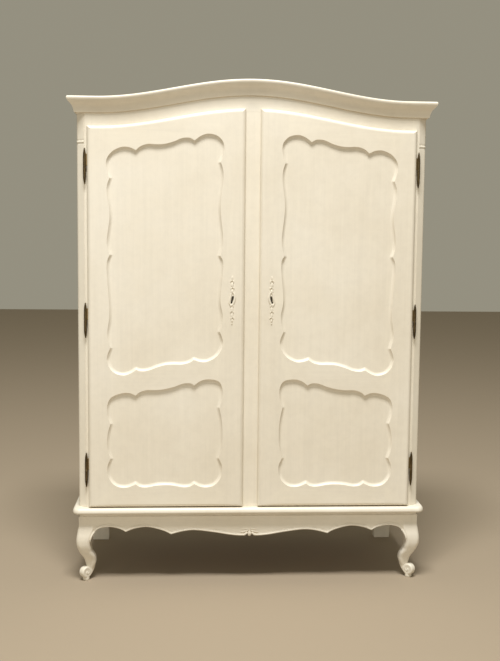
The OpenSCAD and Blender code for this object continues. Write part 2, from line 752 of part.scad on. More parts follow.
// A batten on each side carries the shelf and the rail sockets
module shelf_cleats() placed() color(bare_wood)
    for (side = [LEFT, RIGHT]) sided(side)
        box(inner_half - board_t, inner_half, post_d, rear_y0, shelf_z - cleat_h, shelf_z);

module rail_sockets() placed() color(bronze)
    for (side = [LEFT, RIGHT]) sided(side)
        translate([inner_half - board_t - socket_t, rod_y, rod_z]) rotate([0, 90, 0]) difference() {
            cylinder(r = rod_r + socket_wall, h = socket_t);
            translate([0, 0, -nudge]) cylinder(r = rod_r + socket_fit, h = socket_t - socket_web + nudge);
        }

module hanging_rail() placed() color(bronze)
    translate([-inner_half + board_t + rod_end, rod_y, rod_z]) rotate([0, 90, 0])
        cylinder(r = rod_r, h = 2 * (inner_half - board_t - rod_end));

// ---- one line for each node ----

cornice_front();
cornice_left();
cornice_right();
frieze_rail();
top_board();
corner_post_left();
corner_post_right();
centre_stile();
rear_post_left();
rear_post_right();
side_top_rail_left();
side_top_rail_right();
side_bottom_rail_left();
side_bottom_rail_right();
side_panel_left();
side_panel_right();
back_top_rail();
back_bottom_rail();
back_muntin();
back_panel_left();
back_panel_right();
floor_board();
base_moulding_front();
base_moulding_left();
base_moulding_right();
front_apron();
apron_carving();
side_apron_left();
side_apron_right();
back_apron();
front_leg_left();
front_leg_right();
hat_shelf();
shelf_cleats();
hanging_rail();
rail_sockets();
strike_plates();
hinge_pins();
hinge_stile_left();
hinge_stile_right();
lock_stile_left();
lock_stile_right();
door_top_rail_left();
door_top_rail_right();
door_mid_rail_left();
door_mid_rail_right();
door_bottom_rail_left();
door_bottom_rail_right();
upper_panel_left();
upper_panel_right();
lower_panel_left();
lower_panel_right();
hinge_leaves_left();
hinge_leaves_right();
escutcheon_left();
escutcheon_right();
lock_case_left();
lock_case_right();
lock_bolt_left();
lock_bolt_right();
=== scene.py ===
"""Looks of a cream painted two-door armoire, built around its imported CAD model."""

import math

import bmesh
import bpy
from mathutils import Matrix, Vector
from mathutils.geometry import tessellate_polygon


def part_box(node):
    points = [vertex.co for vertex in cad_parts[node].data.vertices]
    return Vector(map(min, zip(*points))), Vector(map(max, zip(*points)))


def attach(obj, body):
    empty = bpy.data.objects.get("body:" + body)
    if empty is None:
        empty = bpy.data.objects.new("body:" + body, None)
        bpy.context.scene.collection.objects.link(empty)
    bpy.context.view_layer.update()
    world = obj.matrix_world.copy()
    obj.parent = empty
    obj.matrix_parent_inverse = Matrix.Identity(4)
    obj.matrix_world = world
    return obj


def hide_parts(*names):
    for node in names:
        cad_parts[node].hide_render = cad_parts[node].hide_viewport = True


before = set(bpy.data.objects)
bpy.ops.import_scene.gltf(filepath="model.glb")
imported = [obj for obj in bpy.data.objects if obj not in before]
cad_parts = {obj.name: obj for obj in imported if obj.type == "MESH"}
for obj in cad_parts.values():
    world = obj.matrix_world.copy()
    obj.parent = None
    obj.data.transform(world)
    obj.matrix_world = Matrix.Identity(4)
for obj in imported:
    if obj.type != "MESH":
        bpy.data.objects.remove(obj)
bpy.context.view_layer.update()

# Shapes are drawn in millimetres, with y = 0 on the front face of the corner posts.
MM = 0.001
FACE_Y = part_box("frieze_rail")[0].y
SIDES = (("left", True), ("right", False))       # the right half is drawn, the left half is its mirror image


def low(node):
    """The corner of a node's box with the smallest coordinates, in millimetres."""
    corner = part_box(node)[0]
    return Vector((corner.x, corner.y - FACE_Y, corner.z)) / MM


def high(node):
    """The corner of a node's box with the largest coordinates, in millimetres."""
    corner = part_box(node)[1]
    return Vector((corner.x, corner.y - FACE_Y, corner.z)) / MM


# ---------------------------------------------------------------- curves

def spline(points, steps=8):
    """A smooth run through the points, both ends included."""
    padded = [points[0], *points, points[-1]]
    out = []
    for a, b, c, d in zip(padded, padded[1:], padded[2:], padded[3:]):
        for k in range(steps):
            t = k / steps
            out.append(tuple(
                0.5 * (2 * q + (r - p) * t
                       + (2 * p - 5 * q + 4 * r - s) * t ** 2
                       + (3 * q - p - 3 * r + s) * t ** 3)
                for p, q, r, s in zip(a, b, c, d)))
    return out + [tuple(points[-1])]


def arc(x, z, radius, start, end, steps):
    """Points on a circle round (x, z), from one angle in degrees to another."""
    angles = [math.radians(start + (end - start) * k / steps) for k in range(steps + 1)]
    return [(x + radius * math.cos(a), z + radius * math.sin(a)) for a in angles]


def spread(start, end, steps):
    """Evenly spaced values from start to end, both included."""
    return [start + (end - start) * k / steps for k in range(steps + 1)]


ARCH_HALF = 600
ARCH_RISE = high("cornice_front").z - high("cornice_left").z


def arch(x):
    """Rise of the arch at x, shared by the cornice, the frieze, the doors and their panels."""
    return ARCH_RISE * (1 + math.cos(math.pi * x / ARCH_HALF)) / 2 if abs(x) < ARCH_HALF else 0


# ---------------------------------------------------------------- meshes

class Shape:
    """Points in millimetres and the faces between them."""

    def __init__(self):
        self.points = []
        self.faces = []

    def ring(self, points):
        start = len(self.points)
        self.points += [tuple(p) for p in points]
        return list(range(start, len(self.points)))

    def bridge(self, a, b, closed=True):
        """Quads between two rings with the same number of points."""
        count = len(a) if closed else len(a) - 1
        for i in range(count):
            j = (i + 1) % len(a)
            self.faces.append((a[i], a[j], b[j], b[i]))

    def fill(self, *rings):
        """A flat face inside the first ring, with the other rings as holes."""
        loops = [[Vector(self.points[i]) for i in ring] for ring in rings]
        flat = [i for ring in rings for i in ring]
        self.faces += [tuple(flat[k] for k in triangle) for triangle in tessellate_polygon(loops)]

    def loft(self, rings):
        """A closed solid through the rings, with flat ends."""
        made = [self.ring(ring) for ring in rings]
        for a, b in zip(made, made[1:]):
            self.bridge(a, b)
        self.fill(made[0])
        self.fill(made[-1])

    def bmesh(self, mirrored=False):
        """The shape in metres in the frame, or its mirror image in the left half."""
        sign = -1 if mirrored else 1
        mesh = bpy.data.meshes.new("draft")
        placed = [(sign * x * MM, y * MM + FACE_Y, z * MM) for x, y, z in self.points]
        mesh.from_pydata(placed, [], self.faces)
        bm = bmesh.new()
        bm.from_mesh(mesh)
        bpy.data.meshes.remove(mesh)
        bmesh.ops.remove_doubles(bm, verts=bm.verts, dist=1e-6)
        bmesh.ops.dissolve_degenerate(bm, edges=bm.edges, dist=1e-6)
        bmesh.ops.recalc_face_normals(bm, faces=bm.faces)
        return bm


def add_piece(name, mesh, material, body, stands_for, sharp=38):
    """Puts a mesh in the scene on a body, in place of the CAD nodes that it stands for."""
    mesh.shade_smooth()
    mesh.set_sharp_from_angle(angle=math.radians(sharp))
    mesh.materials.clear()
    mesh.materials.append(material)
    obj = bpy.data.objects.new(name, mesh)
    bpy.context.scene.collection.objects.link(obj)
    weighted = obj.modifiers.new("weighted_normals", "WEIGHTED_NORMAL")
    weighted.keep_sharp = True
    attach(obj, body)
    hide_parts(*stands_for)
    return obj


def mesh_of(name, bm):
    mesh = bpy.data.meshes.new(name)
    bm.to_mesh(mesh)
    bm.free()
    return mesh


def fused(name, shape, voxel, smooth, keep, mirrored=False):
    """One closed skin round overlapping solids, as a carver would leave it."""
    source = bpy.data.objects.new("source", mesh_of("source", shape.bmesh(mirrored)))
    bpy.context.scene.collection.objects.link(source)
    remesh = source.modifiers.new("remesh", "REMESH")
    remesh.mode = "VOXEL"
    remesh.voxel_size = voxel * MM
    rounding = source.modifiers.new("smooth", "SMOOTH")
    rounding.factor = 0.5
    rounding.iterations = smooth
    thin = source.modifiers.new("decimate", "DECIMATE")
    thin.ratio = keep
    graph = bpy.context.evaluated_depsgraph_get()
    mesh = bpy.data.meshes.new_from_object(source.evaluated_get(graph))
    mesh.name = name
    old = source.data
    bpy.data.objects.remove(source)
    bpy.data.meshes.remove(old)
    return mesh


def swept(path, up, halves, power=2.0, sides=20):
    """Rings along a path of 3-D points: halves gives each one's half width and its half height along up."""
    rings = []
    up = Vector(up).normalized()
    for i, point in enumerate(path):
        ahead = Vector(path[min(i + 1, len(path) - 1)]) - Vector(path[max(i - 1, 0)])
        across = ahead.cross(up).normalized()
        wide, tall = halves[i]
        ring = []
        for k in range(sides):
            a = 2 * math.pi * k / sides
            c, s = math.cos(a), math.sin(a)
            c = math.copysign(abs(c) ** (2 / power), c)
            s = math.copysign(abs(s) ** (2 / power), s)
            ring.append(Vector(point) + across * wide * c + up * tall * s)
        rings.append(ring)
    return rings


# ---------------------------------------------------------------- materials

def node_material(name):
    material = bpy.data.materials.new(name)
    material.use_nodes = True
    tree = material.node_tree
    return material, tree, tree.nodes["Principled BSDF"]


def node(tree, kind, inputs=None, **settings):
    made = tree.nodes.new(kind)
    for key, value in settings.items():
        setattr(made, key, value)
    for key, value in (inputs or {}).items():
        if isinstance(value, bpy.types.NodeSocket):
            tree.links.new(value, made.inputs[key])
        else:
            made.inputs[key].default_value = value
    return made


def ramp(tree, factor, stops):
    made = node(tree, "ShaderNodeValToRGB", {"Fac": factor})
    elements = made.color_ramp.elements
    elements[0].position, elements[1].position = stops[0][0], stops[-1][0]
    elements[0].color, elements[1].color = stops[0][1], stops[-1][1]
    for place, colour in stops[1:-1]:
        elements.new(place).color = colour
    return made.outputs["Color"]


def grey(value):
    return (value, value, value, 1)


def stretched_noise(tree, coordinates, scale, **inputs):
    mapping = node(tree, "ShaderNodeMapping", {"Vector": coordinates, "Scale": scale})
    return node(tree, "ShaderNodeTexNoise", {"Vector": mapping.outputs["Vector"], "Scale": 1.0, **inputs})


def mixed(tree, factor, a, b, blend="MIX"):
    made = node(tree, "ShaderNodeMix", data_type="RGBA", blend_type=blend)
    for key, value in ((0, factor), (6, a), (7, b)):
        if isinstance(value, bpy.types.NodeSocket):
            tree.links.new(value, made.inputs[key])
        else:
            made.inputs[key].default_value = value
    return made.outputs[2]


def bumped(tree, shader, heights):
    """Stacks height maps: each is a socket, its strength and its depth in metres."""
    normal = None
    for socket, strength, depth in heights:
        inputs = {"Height": socket, "Strength": strength, "Distance": depth}
        if normal is not None:
            inputs["Normal"] = normal
        normal = node(tree, "ShaderNodeBump", inputs).outputs["Normal"]
    tree.links.new(normal, shader.inputs["Normal"])


def cream_paint(name, grain, roughness=0.42, hollow_shade=0.35, reach=0.012, shade_free_share=0.75):
    """Brushed cream paint over wood: grain is the direction that the brush went, x or z.

    Painted shade, darker and yellower, fills hollows up to reach metres wide, at the strength given and only
    where less than the given share of a hollow is open.
    """
    material, tree, shader = node_material(name)
    place = node(tree, "ShaderNodeTexCoord").outputs["Object"]
    along, across = 5.0, 620.0
    scale = (across, across, along) if grain == "z" else (along, across, across)
    strokes = stretched_noise(tree, place, scale, Detail=3.0, Roughness=0.6)
    wood_scale = (70, 70, 2.2) if grain == "z" else (2.2, 70, 70)
    wood = stretched_noise(tree, place, wood_scale, Detail=5.0, Roughness=0.65)
    cloud = stretched_noise(tree, place, (2.6, 2.6, 2.6), Detail=4.0, Roughness=0.55)
    mottle = stretched_noise(tree, place, (38, 38, 38), Detail=3.0, Roughness=0.6)
    base = ramp(tree, cloud.outputs["Fac"], [
        (0.30, (0.770, 0.705, 0.585, 1)), (0.52, (0.810, 0.752, 0.640, 1)), (0.72, (0.835, 0.785, 0.685, 1))])
    streaks = ramp(tree, wood.outputs["Fac"], [(0.35, grey(0.80)), (0.65, grey(1.0))])
    streaked = mixed(tree, 0.20, base, streaks, "MULTIPLY")
    spots = ramp(tree, mottle.outputs["Fac"], [(0.35, grey(0.78)), (0.6, grey(1.0))])
    mottled = mixed(tree, 0.14, streaked, spots, "MULTIPLY")
    # painted shade: ambient occlusion darkens and yellows the paint in its hollows and under overhangs
    hollows = node(tree, "ShaderNodeAmbientOcclusion", {"Distance": reach}, samples=6)
    shade = ramp(tree, hollows.outputs["AO"], [(0.15, (0.62, 0.50, 0.30, 1)), (shade_free_share, (1, 1, 1, 1))])
    with_painted_shade = mixed(tree, hollow_shade, mottled, shade, "MULTIPLY")
    edges = node(tree, "ShaderNodeNewGeometry").outputs["Pointiness"]
    rubbed = node(tree, "ShaderNodeMath", {0: ramp(tree, edges, [(0.53, grey(0)), (0.60, grey(1))]), 1: 0.25},
                  operation="MULTIPLY").outputs[0]
    tree.links.new(mixed(tree, rubbed, with_painted_shade, (0.90, 0.84, 0.70, 1)), shader.inputs["Base Color"])
    gloss = node(tree, "ShaderNodeMapRange",
                 {"Value": mottle.outputs["Fac"], "From Min": 0.3, "From Max": 0.7,
                  "To Min": roughness - 0.06, "To Max": roughness + 0.08})
    tree.links.new(gloss.outputs["Result"], shader.inputs["Roughness"])
    shader.inputs["Specular IOR Level"].default_value = 0.45
    shader.inputs["Coat Weight"].default_value = 0.06
    shader.inputs["Coat Roughness"].default_value = 0.3
    bumped(tree, shader, [(strokes.outputs["Fac"], 0.30, 0.0004), (wood.outputs["Fac"], 0.22, 0.0006),
                          (mottle.outputs["Fac"], 0.18, 0.0006)])
    return material


def bare_wood(name, grain):
    """Unpainted oiled wood: grain is the direction of its fibres, x or z."""
    material, tree, shader = node_material(name)
    place = node(tree, "ShaderNodeTexCoord").outputs["Object"]
    figure_scale = (18, 18, 0.9) if grain == "z" else (0.9, 18, 18)
    fibre_scale = (420, 420, 9) if grain == "z" else (9, 420, 420)
    warp = stretched_noise(tree, place, figure_scale, Detail=6.0, Roughness=0.62, Distortion=0.6)
    rings = node(tree, "ShaderNodeMath", {0: warp.outputs["Fac"], 1: 46.0}, operation="MULTIPLY")
    wave = node(tree, "ShaderNodeMath", {0: rings.outputs[0]}, operation="SINE")
    wave01 = node(tree, "ShaderNodeMapRange", {"Value": wave.outputs[0], "From Min": -1.0, "From Max": 1.0})
    fibre = stretched_noise(tree, place, fibre_scale, Detail=4.0, Roughness=0.7)
    tone = ramp(tree, wave01.outputs["Result"], [
        (0.0, (0.260, 0.140, 0.062, 1)), (0.45, (0.390, 0.228, 0.108, 1)), (1.0, (0.470, 0.290, 0.150, 1))])
    fibres = ramp(tree, fibre.outputs["Fac"], [(0.32, grey(0.45)), (0.62, grey(1.0))])
    fibred = mixed(tree, 0.55, tone, fibres, "MULTIPLY")
    cloud = stretched_noise(tree, place, (3.1, 3.1, 3.1), Detail=3.0)
    clouds = ramp(tree, cloud.outputs["Fac"], [(0.35, grey(0.62)), (0.7, grey(1.0))])
    aged = mixed(tree, 0.35, fibred, clouds, "MULTIPLY")
    tree.links.new(aged, shader.inputs["Base Color"])
    gloss = node(tree, "ShaderNodeMapRange",
                 {"Value": fibre.outputs["Fac"], "From Min": 0.3, "From Max": 0.7,
                  "To Min": 0.48, "To Max": 0.68})
    tree.links.new(gloss.outputs["Result"], shader.inputs["Roughness"])
    bumped(tree, shader, [(fibre.outputs["Fac"], 0.35, 0.0004), (wave01.outputs["Result"], 0.12, 0.0005)])
    return material


def metal(name, dark, light, roughness, metallic=1.0, brushed=False):
    """Patinated or brushed metal, brighter where it has been rubbed."""
    material, tree, shader = node_material(name)
    place = node(tree, "ShaderNodeTexCoord").outputs["Object"]
    patches = stretched_noise(tree, place, (60, 60, 60), Detail=6.0, Roughness=0.65)
    scratch_scale = (30, 900, 900) if brushed else (900, 900, 60)
    scratches = stretched_noise(tree, place, scratch_scale, Detail=2.0)
    tone = ramp(tree, patches.outputs["Fac"], [(0.34, (*dark, 1)), (0.66, (*light, 1))])
    edges = node(tree, "ShaderNodeNewGeometry").outputs["Pointiness"]
    rubbed = ramp(tree, edges, [(0.52, grey(0)), (0.60, grey(0.7))])
    worn = mixed(tree, rubbed, tone, (*[min(1.0, 1.9 * c) for c in light], 1))
    tree.links.new(worn, shader.inputs["Base Color"])
    gloss = node(tree, "ShaderNodeMapRange",
                 {"Value": patches.outputs["Fac"], "From Min": 0.3, "From Max": 0.7,
                  "To Min": roughness - 0.08, "To Max": roughness + 0.12})
    tree.links.new(gloss.outputs["Result"], shader.inputs["Roughness"])
    shader.inputs["Metallic"].default_value = metallic
    bumped(tree, shader, [(scratches.outputs["Fac"], 0.25, 0.0002), (patches.outputs["Fac"], 0.25, 0.0004)])
    return material


PAINT_Z = cream_paint("cream_paint_upright", "z")
PAINT_X = cream_paint("cream_paint_level", "x")
# the cornice paint has the strongest and widest painted shade, which darkens and yellows the hollow under its
# nose
CORNICE_PAINT = cream_paint("cream_paint_cornice", "x", hollow_shade=1.0, reach=0.080, shade_free_share=0.95)
# the plate paint has a little more painted shade in the crevices of its relief than the boards
PLATE_PAINT = cream_paint("cream_paint_on_metal", "z", roughness=0.40, hollow_shade=0.42)
WOOD_Z = bare_wood("bare_wood_upright", "z")
WOOD_X = bare_wood("bare_wood_level", "x")
BRONZE = metal("dark_bronze", (0.040, 0.026, 0.010), (0.125, 0.088, 0.040), roughness=0.42, metallic=0.85)
STEEL = metal("lock_steel", (0.065, 0.055, 0.040), (0.20, 0.18, 0.15), roughness=0.46, brushed=True)
# the lock cases are made very dark and brown so the keyholes look dark: partly the iron's own colour, partly
# painted shade for the hollow behind each keyhole
IRON = metal("lock_iron", (0.020, 0.014, 0.007), (0.065, 0.048, 0.028), roughness=0.55, metallic=0.7)
BRASS = metal("aged_brass", (0.36, 0.24, 0.09), (0.62, 0.45, 0.19), roughness=0.32)


# ---------------------------------------------------------------- cornice

CASE_HALF = high("corner_post_right").x
CASE_BACK = high("rear_post_right").y
CORNICE_OUT = high("cornice_right").x - CASE_HALF
CORNICE_Z0 = low("cornice_right").z
CORNICE_H = high("cornice_right").z - CORNICE_Z0


def cornice_section():
    """Distance out from the case and height above the underside: a quirk, a hollow and a rounded nose."""
    nose = CORNICE_OUT
    return (
        [(0, 0), (0.4, 0), (0.4, 3.2), (5.6, 3.6)]
        + spline([(6.2, 4.6), (7.6, 10.0), (9.2, 16.0), (11.2, 22.6), (14.2, 28.8), (18.6, 34.4),
                  (23.6, 39.8), (28.0, 45.2), (30.8, 50.4), (nose, 55.6), (nose - 0.9, 59.4),
                  (nose - 4.2, CORNICE_H)], 5)
        + [(0, CORNICE_H)]
    )


def cornice():
    """The arched front length and the straight side lengths, mitred together."""
    section = cornice_section()
    front = Shape()
    stations = [-CASE_HALF, *spread(-ARCH_HALF, ARCH_HALF, 72), CASE_HALF]
    rings = []
    for x in stations:
        out = 1 if abs(x) == CASE_HALF else 0    # only the mitred ends reach out past the case
        side = math.copysign(out, x)
        rings.append([(x + side * p, -p, CORNICE_Z0 + h + arch(x)) for p, h in section])
    front.loft(rings)
    title = "cornice_front_moulding"
    add_piece(title, mesh_of(title, front.bmesh()), CORNICE_PAINT, "case", ["cornice_front"])
    for name, mirrored in SIDES:
        side = Shape()
        side.loft([[(CASE_HALF + p, -p, CORNICE_Z0 + h) for p, h in section],
                   [(CASE_HALF + p, CASE_BACK, CORNICE_Z0 + h) for p, h in section]])
        title = f"cornice_{name}_moulding"
        add_piece(title, mesh_of(title, side.bmesh(mirrored)), CORNICE_PAINT, "case", [f"cornice_{name}"])


# ---------------------------------------------------------------- corner posts

POST_X0 = low("corner_post_right").x
POST_D = high("corner_post_right").y
CASE_Z0 = low("corner_post_right").z
POST_TOP = high("corner_post_right").z
CORNER_R = 14
CANT = math.radians(30)                          # how far the face of a post turns away beside the hinges
CANT_X = 641                                     # where the face starts to turn away
CANT_Y = (CASE_HALF - CORNER_R * (1 - math.sin(CANT)) - CANT_X) * math.tan(CANT) + CORNER_R * math.cos(CANT)
RING_Z = 1710                                    # height of the carved ring
QUIRK_NEAR, QUIRK_FAR, QUIRK_END = 1.2, 2.4, 3.4     # the quirk's floor and its outer lip, from the turn


def post_ring(z, set_in, quirk=1.4, square=False):
    """Plan of a post: its face turns away beside the hinges and rounds into the side, between two quirks.

    set_in moves the turned-away part inward, and a square plan has no turned-away part at all.
    """
    radius = CORNER_R - set_in
    turning = [(CANT_X - set_in * math.sin(CANT), set_in * math.cos(CANT), z)]
    turning += [(CASE_HALF - CORNER_R + radius * math.cos(a), CANT_Y + radius * math.sin(a), z)
                for a in spread(CANT - math.pi / 2, 0, 12)]
    if square:
        turning = [(x, 0, z) for x in spread(CANT_X, CASE_HALF, 6)]
        turning += [(CASE_HALF, y, z) for y in spread(CANT_Y / 7, CANT_Y, 6)]
    return (
        [(POST_X0, 0, z), (CANT_X - QUIRK_END, 0, z), (CANT_X - QUIRK_FAR, quirk, z),
         (CANT_X - QUIRK_NEAR, quirk, z)]
        + turning
        + [(CASE_HALF - quirk, CANT_Y + QUIRK_NEAR, z), (CASE_HALF - quirk, CANT_Y + QUIRK_FAR, z),
           (CASE_HALF, CANT_Y + QUIRK_END, z), (CASE_HALF, POST_D, z), (POST_X0, POST_D, z)]
    )


def corner_post():
    """A post with a small carved ring round its turned-away face, and a square top behind the cornice."""
    plain, groove, ring = 0.4, 1.6, 4.2
    rings = [post_ring(CASE_Z0, plain), post_ring(RING_Z - 13, plain), post_ring(RING_Z - 8, groove)]
    for k in range(11):
        a = math.radians(-90 + 18 * k)
        rings.append(post_ring(RING_Z + ring * math.sin(a), groove - 1.9 * math.cos(a)))
    rings += [post_ring(RING_Z + 8, groove), post_ring(RING_Z + 13, plain), post_ring(CORNICE_Z0, plain),
              post_ring(CORNICE_Z0, 0, 0, True), post_ring(POST_TOP, 0, 0, True)]
    post = Shape()
    post.loft(rings)
    return post


def corner_posts():
    for name, mirrored in SIDES:
        add_piece(f"post_{name}", mesh_of(f"post_{name}", corner_post().bmesh(mirrored)), PAINT_Z, "case",
                  [f"corner_post_{name}"])


# ---------------------------------------------------------------- doors

DOOR_INNER = low("lock_stile_right").x
DOOR_OUTER = high("hinge_stile_right").x
DOOR_Z0 = low("lock_stile_right").z
DOOR_Z1 = high("lock_stile_right").z - arch(DOOR_INNER)
DOOR_FACE = low("lock_stile_right").y
DOOR_BACK = high("lock_stile_right").y
LIP_BACK = -1                                    # back of the lip that laps over the posts
PANEL_FACE = low("upper_panel_right").y
PANEL_X = (low("upper_panel_right").x + high("upper_panel_right").x) / 2
STILE_IN = low("door_mid_rail_right").x
STILE_OUT = high("door_mid_rail_right").x
EDGE_W, EDGE_D = 14, 14.5                        # rounded outer edge of a door
COVE_W = 13                                      # hollow edge round each panel
ARRIS = 0.6                                      # eased edge where the hollow starts
UPPER_BREAK, LOWER_BREAK = 1300, 570             # levels inside the openings, where the frame is divided
KEY_X = (low("escutcheon_right").x + high("escutcheon_right").x) / 2
KEY_Z = 1119

WAIST = 1285                                     # level of the cusps beside the upper panel
# Right half of each panel outline, cusp by cusp, from the bottom centre to the top centre
UPPER_RUNS = [
    [(0, 833), (30, 830), (66, 823), (94, 825), (111, 833)],
    [(111, 833), (133, 822), (160, 817), (192, 828), (213, 850), (223, 879), (219, 904), (210, 926)],
    [(210, 926), (221, 980), (212, 1068), (222, 1238), (210, WAIST)],
    [(210, WAIST), (221, 1335), (210, 1435), (221, 1530), (210, 1573)],
    [(210, 1573), (219, 1600), (223, 1630), (215, 1655), (193, 1676), (161, 1686), (133, 1681), (111, 1668)],
    [(111, 1668), (92, 1681), (64, 1685), (32, 1678), (0, 1675)],
]
LOWER_RUNS = [
    [(0, 391), (32, 389), (72, 382), (98, 385), (114, 395)],
    [(114, 395), (138, 384), (162, 381), (188, 387), (209, 405), (221, 431), (222, 466), (210, 495)],
    [(210, 495), (221, 530), (223, 566), (219, 600), (210, 630)],
    [(210, 630), (220, 660), (223, 697), (213, 727), (193, 741), (159, 748), (134, 744), (113, 732)],
    [(113, 732), (97, 743), (70, 747), (35, 741), (0, 739)],
]


def upper_lift(z):
    """How much of the arch a point of the upper outline follows."""
    return min(1, abs(z - WAIST) / 280)


def lower_lift(z):
    """How much of the arch a point of the lower outline follows."""
    return max(0, min(1, (z - 495) / 135))


def flipped(run):
    """The mirror image of a run about the middle of the panel, in the other direction."""
    return [(-u, z) for u, z in reversed(run)]


def outline_runs(runs, lift):
    """The smooth stretches between cusps, anticlockwise round the whole opening, in door coordinates."""
    bottom = flipped(runs[0])[:-1] + runs[0]
    top = runs[-1] + flipped(runs[-1])[1:]
    right = runs[1:-1]
    closed = [bottom, *right, top, *[flipped(run) for run in reversed(right)]]
    placed = []
    for run in closed:
        smooth = [(PANEL_X + u, z) for u, z in spline(run, 7)]
        placed.append([(x, z + arch(x) * lift(z)) for x, z in smooth])
    return placed


def turned(vector):
    """The direction to the left of vector."""
    return Vector((-vector[1], vector[0])).normalized()


def cusped_loop(runs):
    """Point, inward normal and mitre of every vertex, with a fan of normals at each cusp."""
    loop = []
    normals = []
    for run in runs:
        points = [Vector(p) for p in run]
        normals.append([turned(points[min(i + 1, len(points) - 1)] - points[max(i - 1, 0)])
                        for i in range(len(points))])
    for index, run in enumerate(runs):
        mine = normals[index]
        loop += [(Vector(p), n, n, False) for p, n in zip(run[1:-1], mine[1:-1])]
        after = normals[(index + 1) % len(runs)][0]
        before = mine[-1]
        turn = before.angle_signed(after)
        mitre = (before + after) / (1 + before.dot(after))
        for k in range(9):
            fan = before.copy()
            fan.rotate(Matrix.Rotation(-turn * k / 8, 2))
            loop.append((Vector(run[-1]), fan, mitre, k > 0))
    return loop


def polygon_loop(points):
    """Point and inward mitre of every vertex of an anticlockwise polygon."""
    loop = []
    for i, point in enumerate(points):
        before = turned(Vector(point) - Vector(points[i - 1]))
        after = turned(Vector(points[(i + 1) % len(points)]) - Vector(point))
        loop.append((Vector(point), (before + after) / (1 + before.dot(after))))
    return loop


def at_depth(points, y):
    """Points of the door's face, moved to the depth y."""
    return [(p[0], y, p[1]) for p in points]


def keyhole_outline():
    """A keyhole that leans: its round head is nearer the centre of the armoire than its foot."""
    head = Vector((KEY_X - 2.5, KEY_Z + 7))
    foot = Vector((KEY_X + 3, KEY_Z - 15))
    lean = math.degrees(math.atan2(head.y - foot.y, head.x - foot.x))
    return (arc(head.x, head.y, 5, lean - 110, lean + 110, 18)
            + arc(foot.x, foot.y, 3, lean + 90, lean + 270, 10))


def door_frame():
    """The whole frame of the right-hand door, as one closed mesh."""
    door = Shape()
    edge = [(DOOR_INNER, DOOR_Z0), (DOOR_OUTER, DOOR_Z0)]
    edge += [(x, DOOR_Z1 + arch(x)) for x in spread(DOOR_OUTER, DOOR_INNER, 60)]
    outer = polygon_loop(edge)
    steps = 9
    rings = []
    for k in range(steps + 1):
        a = math.radians(90 * k / steps)
        inset, y = EDGE_W * (1 - math.sin(a)), DOOR_FACE + EDGE_D * (1 - math.cos(a))
        rings.append(door.ring(at_depth([p + m * inset for p, m in outer], y)))
    rings.append(door.ring(at_depth([p for p, m in outer], LIP_BACK - 1.0)))
    rings.append(door.ring(at_depth([p + m * 1.0 for p, m in outer], LIP_BACK)))
    for a, b in zip(rings, rings[1:]):
        door.bridge(a, b)
    tongue_x0, tongue_x1 = high("centre_stile").x + 1.5, POST_X0 - 1.5
    tongue_z0, tongue_z1 = high("floor_board").z + 1.5, DOOR_Z1 - 13.5
    tongue_edge = [(tongue_x0, tongue_z0), (tongue_x1, tongue_z0)]
    tongue_edge += [(x, tongue_z1 + arch(x)) for x in spread(tongue_x1, tongue_x0, 40)]
    tongue = polygon_loop(tongue_edge)
    tongue_front = door.ring(at_depth(tongue_edge, LIP_BACK))
    tongue_side = door.ring(at_depth(tongue_edge, DOOR_BACK - 1.2))
    tongue_back = door.ring(at_depth([p + m * 1.2 for p, m in tongue], DOOR_BACK))
    door.fill(rings[-1], tongue_front)
    door.bridge(tongue_front, tongue_side)
    door.bridge(tongue_side, tongue_back)

    face_loops, back_loops = [rings[0]], [tongue_back]
    profile = [(-ARRIS, DOOR_FACE), (-0.25 * ARRIS, DOOR_FACE + 0.25 * ARRIS), (0, DOOR_FACE + ARRIS)]
    depth = PANEL_FACE - DOOR_FACE - ARRIS
    for k in range(1, 11):
        a = math.radians(30 + 6 * k)
        profile.append((COVE_W * (1 - math.cos(a) / math.cos(math.radians(30))),
                        DOOR_FACE + ARRIS + (depth + 0.15) * (2 * math.sin(a) - 1)))
    profile += [(0, PANEL_FACE + 0.15), (0, DOOR_BACK - 1.0), (-1.0, DOOR_BACK)]
    for runs, lift in ((UPPER_RUNS, upper_lift), (LOWER_RUNS, lower_lift)):
        loop = cusped_loop(outline_runs(runs, lift))
        made = []
        for s, y in profile:
            points = [p + (n if s > 0 else m) * s for p, n, m, _ in loop]
            made.append(door.ring(at_depth(points, y)))
        for a, b in zip(made, made[1:]):
            door.bridge(a, b)
        single = [i for i, vertex in enumerate(loop) if not vertex[3]]
        face_loops.append([made[0][i] for i in single])
        back_loops.append([made[-1][i] for i in single])
    key_front = door.ring(at_depth(keyhole_outline(), DOOR_FACE))
    key_back = door.ring(at_depth(keyhole_outline(), DOOR_BACK))
    door.bridge(key_front, key_back)
    door.fill(*face_loops, key_front)
    door.fill(*back_loops, key_back)
    return door


def cut(bm, point, normal):
    """Keeps what lies behind the plane and closes the cut."""
    geometry = bm.verts[:] + bm.edges[:] + bm.faces[:]
    result = bmesh.ops.bisect_plane(bm, geom=geometry, plane_co=point, plane_no=normal, clear_outer=True,
                                    dist=1e-7)
    edges = [e for e in result["geom_cut"] if isinstance(e, bmesh.types.BMEdge)]
    if edges:
        bmesh.ops.holes_fill(bm, edges=edges, sides=0)


